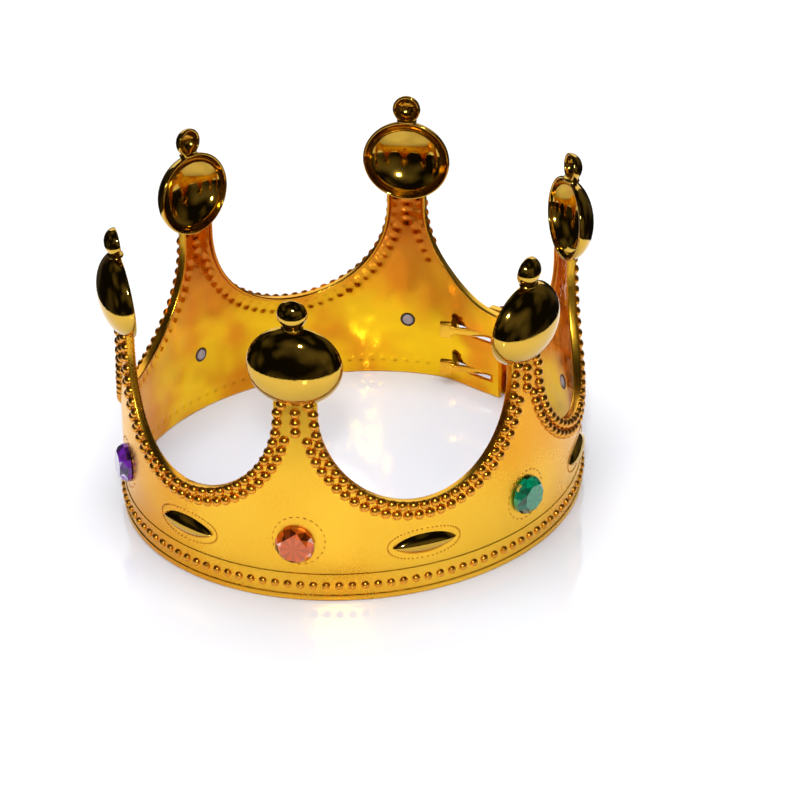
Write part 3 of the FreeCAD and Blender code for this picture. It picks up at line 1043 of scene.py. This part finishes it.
class CROWN_OT_tabs(bpy.types.Operator):
    """Add the two T tabs that hook through the slots"""
    bl_idname = "crown.tabs"
    bl_label = "T tabs"

    def execute(self, context):
        for name, height in TAB_HEIGHTS.items():
            root = on_strip(TAB_ROOT[0], TAB_ROOT[1] + step_in(TAB_ROOT[0]), height)
            tip = on_strip(TAB_TIP[0], TAB_TIP[1] + step_in(TAB_TIP[0]), height)
            length = float(np.linalg.norm(tip - root))
            axis = (tip - root) / length
            tab = add_piece("t_tab_" + name, [self.loft(root, axis, length)],
                            [finish_of("outside"), finish_of("bare_and_shade")], sharp=50.0)
            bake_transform(tab)
            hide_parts("tab_" + name)
        return {"FINISHED"}

    @staticmethod
    def loft(root, axis, length):
        """Rounded oblongs along the tab's axis: each is a fourth-power oval of a half height and
        a half thickness, flared at the root and widened into the bar at the tip. The side that
        faces the wall is dark plastic, partly the real unplated back and partly painted shade that
        darkens the tab's reflection in the wall."""
        stations = np.array([
            (-1.0, 2.4, 0.7), (0.3, 2.3, 0.78), (2.0, 1.75, 0.8), (3.2, 1.6, 0.8),
            (length * 0.4, 1.6, 0.8), (length - 7.2, 1.6, 0.8), (length - 6.6, 1.7, 0.85),
            (length - 6.2, 2.1, 0.95), (length - 5.6, 2.2, 1.0), (length - 5.1, 2.2, 1.0),
            (length - 4.95, 3.4, 1.05), (length - 4.7, 3.65, 1.1), (length - 4.3, 3.7, 1.1),
            (length - 0.6, 3.7, 1.1), (length - 0.15, 3.6, 1.0), (length, 3.35, 0.7)])
        around = np.linspace(0, 2 * pi, 28, endpoint=False)
        round_off = (np.cos(around) ** 4 + np.sin(around) ** 4) ** -0.25
        side = np.array([axis[1], -axis[0], 0.0])
        up = np.array([0.0, 0.0, 1.0])
        wide = stations[:, 2:, None] * (np.cos(around) * round_off)[:, None]
        tall = stations[:, 1:2, None] * (np.sin(around) * round_off)[:, None]
        points = root + stations[:, :1, None] * axis + wide * side + tall * up
        # Painted shade: the side towards the wall gets the dark finish, so the tab's reflection in
        # the wall is dark.
        wall_side_shade = np.cos(around + pi / len(around)) > 0.55
        number = np.tile(wall_side_shade.astype(int), len(stations) - 1)
        return points, grid_faces(len(stations), len(around), wrap=True), number


class CROWN_OT_stage(bpy.types.Operator):
    """Add the floor, the soft lights and the camera"""
    bl_idname = "crown.stage"
    bl_label = "Stage"

    def execute(self, context):
        self.floors()
        self.world(context.scene)
        self.lights()
        self.camera(context.scene)
        context.scene.view_settings.view_transform = "Standard"
        return {"FINISHED"}

    @staticmethod
    def disc(name, inner, outer, finish):
        """A flat ring just under the base, or a disc where the inner radius is nought."""
        around = np.linspace(0, 2 * pi, 128, endpoint=False)
        radius = np.array([outer, inner])[:, None] / MM
        points = np.stack([radius * np.cos(around), radius * np.sin(around),
                           np.full((2, 128), FLOOR_HEIGHT / MM)], -1)
        mesh = bpy.data.meshes.new(name)
        mesh.from_pydata(points.reshape(-1, 3) * MM, [], grid_faces(2, 128, wrap=True).tolist())
        mesh.materials.append(finish)
        piece = put(name, mesh)
        return piece

    def floors(self):
        """A glossy white sheet under the crown, greyer and lilac towards its middle as painted
        shade, and a plain floor round it that mirrors don't see, so that the plating reflects a
        dark room beyond the sheet."""
        sheet = Finish("sheet_white", Roughness=0.08, IOR=1.8)
        # Painted shade: the sheet is grey-lilac under and round the crown, turning white towards
        # its edge.
        shade_fade = sheet.smooth(sheet.length(sheet.place()) + sheet.noise(8.0) * 0.05, 0.11, 0.25)
        colour = sheet.mix(shade_fade, (0.74, 0.76, 0.82, 1.0), (0.95, 0.95, 0.95, 1.0))
        self.disc("floor_sheet", 0.0, SHEET_RADIUS, sheet.feed(Base_Color=colour))
        plain = Finish("floor_white", Roughness=0.9)
        colour = plain.mix(plain.noise(6.0), (0.94, 0.94, 0.94, 1.0), (0.96, 0.96, 0.96, 1.0))
        around = self.disc("floor_round", SHEET_RADIUS, ROOM_RADIUS,
                           plain.feed(Base_Color=colour))
        around.visible_glossy = False
        self.backdrop()

    def backdrop(self):
        """A far pale shell that only the camera sees."""
        glow = Finish("backdrop_glow", Roughness=1.0, Emission_Strength=1.0)
        colour = glow.mix(glow.noise(0.1), (1.0, 1.0, 1.0, 1.0), (0.98, 0.98, 0.98, 1.0))
        glow.shader.inputs["Base Color"].default_value = (0, 0, 0, 1)
        material = glow.feed(Emission_Color=colour)
        around = np.linspace(0, 2 * pi, 48, endpoint=False)
        level = np.linspace(-0.05, pi / 2, 13)[:, None]
        points = ROOM_RADIUS * np.stack([np.cos(level) * np.cos(around),
                                         np.cos(level) * np.sin(around),
                                         np.sin(level) + 0 * around], -1)
        mesh = bpy.data.meshes.new("backdrop")
        mesh.from_pydata(points.reshape(-1, 3), [], grid_faces(13, 48, wrap=True).tolist())
        mesh.materials.append(material)
        shell = put("backdrop", mesh)
        for kind in ("diffuse", "glossy", "transmission", "shadow"):
            setattr(shell, "visible_" + kind, False)

    @staticmethod
    def world(scene):
        """A dim warm room, darker above."""
        world = bpy.data.worlds.new("dim_room")
        world.use_nodes = True
        sky = world.node_tree.nodes["Background"]
        sky.inputs["Strength"].default_value = 0.12
        nodes = Nodes(world.node_tree)
        noise = nodes.noise(1.6, 1.0, nodes.node("ShaderNodeTexCoord", output="Generated"))
        stops = [(0.42, (0.05, 0.045, 0.04, 1.0)), (0.72, (1.0, 0.9, 0.75, 1.0))]
        ramp = nodes.node("ShaderNodeValToRGB", {"stops": stops}, {0: noise})
        world.node_tree.links.new(ramp.socket, sky.inputs["Color"])
        scene.world = world

    @staticmethod
    def light(name, place, size, power, glossy=True):
        """An area light that faces the crown."""
        data = bpy.data.lights.new(name, "AREA")
        data.shape = "RECTANGLE"
        data.size, data.size_y = size
        data.energy = power
        lamp = put(name, data)
        lamp.location = place
        aim = Vector(LIGHT_TARGET) - Vector(place)
        lamp.rotation_euler = aim.to_track_quat("-Z", "Y").to_euler()
        lamp.visible_glossy = glossy
        lamp.visible_camera = False

    def lights(self):
        """A broad soft light above, hidden from the plating, a softbox behind the crown that the
        floor mirrors, and a flash in front that glints in the domes and beads."""
        self.light("overhead", (0.1, -0.2, 1.6), (1.8, 1.8), 36.0, glossy=False)
        self.light("softbox", (-1.15, 1.25, 1.0), (2.6, 1.5), 14.0)
        self.light("flash", (0.78, -0.88, 0.86), (0.08, 0.08), 9.0)

    @staticmethod
    def camera(scene):
        """A long lens 1.4 m away, a third of the way up and to the right of the front."""
        data = bpy.data.cameras.new("camera")
        data.lens = LENS
        data.sensor_width = 36.0
        level = cos(CAMERA_ELEVATION)
        place = CAMERA_DISTANCE * Vector((level * sin(CAMERA_AZIMUTH),
                                          -level * cos(CAMERA_AZIMUTH), sin(CAMERA_ELEVATION)))
        aim = Vector(CAMERA_TARGET) - place
        turn = aim.to_track_quat("-Z", "Y").to_matrix() @ Matrix.Rotation(CAMERA_ROLL, 3, "Z")
        camera = put("camera", data)
        camera.location = place
        camera.rotation_euler = turn.to_euler()
        scene.camera = camera


class CROWN_PT_panel(bpy.types.Panel):
    """Lists the crown's pieces and their sizes and colours"""
    bl_idname = "CROWN_PT_panel"
    bl_label = "Costume Crown"
    bl_space_type = "VIEW_3D"
    bl_region_type = "UI"
    bl_category = "Crown"

    def draw(self, context):
        for group in (context.scene.crown_sizes, context.scene.crown_colours):
            column = self.layout.column(align=True)
            for name in group.__annotations__:
                column.prop(group, name)
        for operator in OPERATORS:
            self.layout.operator(operator.bl_idname)


OPERATORS = (CROWN_OT_band, CROWN_OT_beading, CROWN_OT_bosses, CROWN_OT_domes, CROWN_OT_beads,
             CROWN_OT_gems, CROWN_OT_tabs, CROWN_OT_stage)
CLASSES = (CrownSizes, CrownColours, *OPERATORS, CROWN_PT_panel)


def register():
    for cls in CLASSES:
        bpy.utils.register_class(cls)
    bpy.types.Scene.crown_sizes = PointerProperty(type=CrownSizes)
    bpy.types.Scene.crown_colours = PointerProperty(type=CrownColours)


def unregister():
    del bpy.types.Scene.crown_colours
    del bpy.types.Scene.crown_sizes
    for cls in reversed(CLASSES):
        bpy.utils.unregister_class(cls)


def main():
    """Build every piece and the stage."""
    register()
    for operator in OPERATORS:
        group, name = operator.bl_idname.split(".")
        getattr(getattr(bpy.ops, group), name)()


if __name__ == "__main__":
    main()
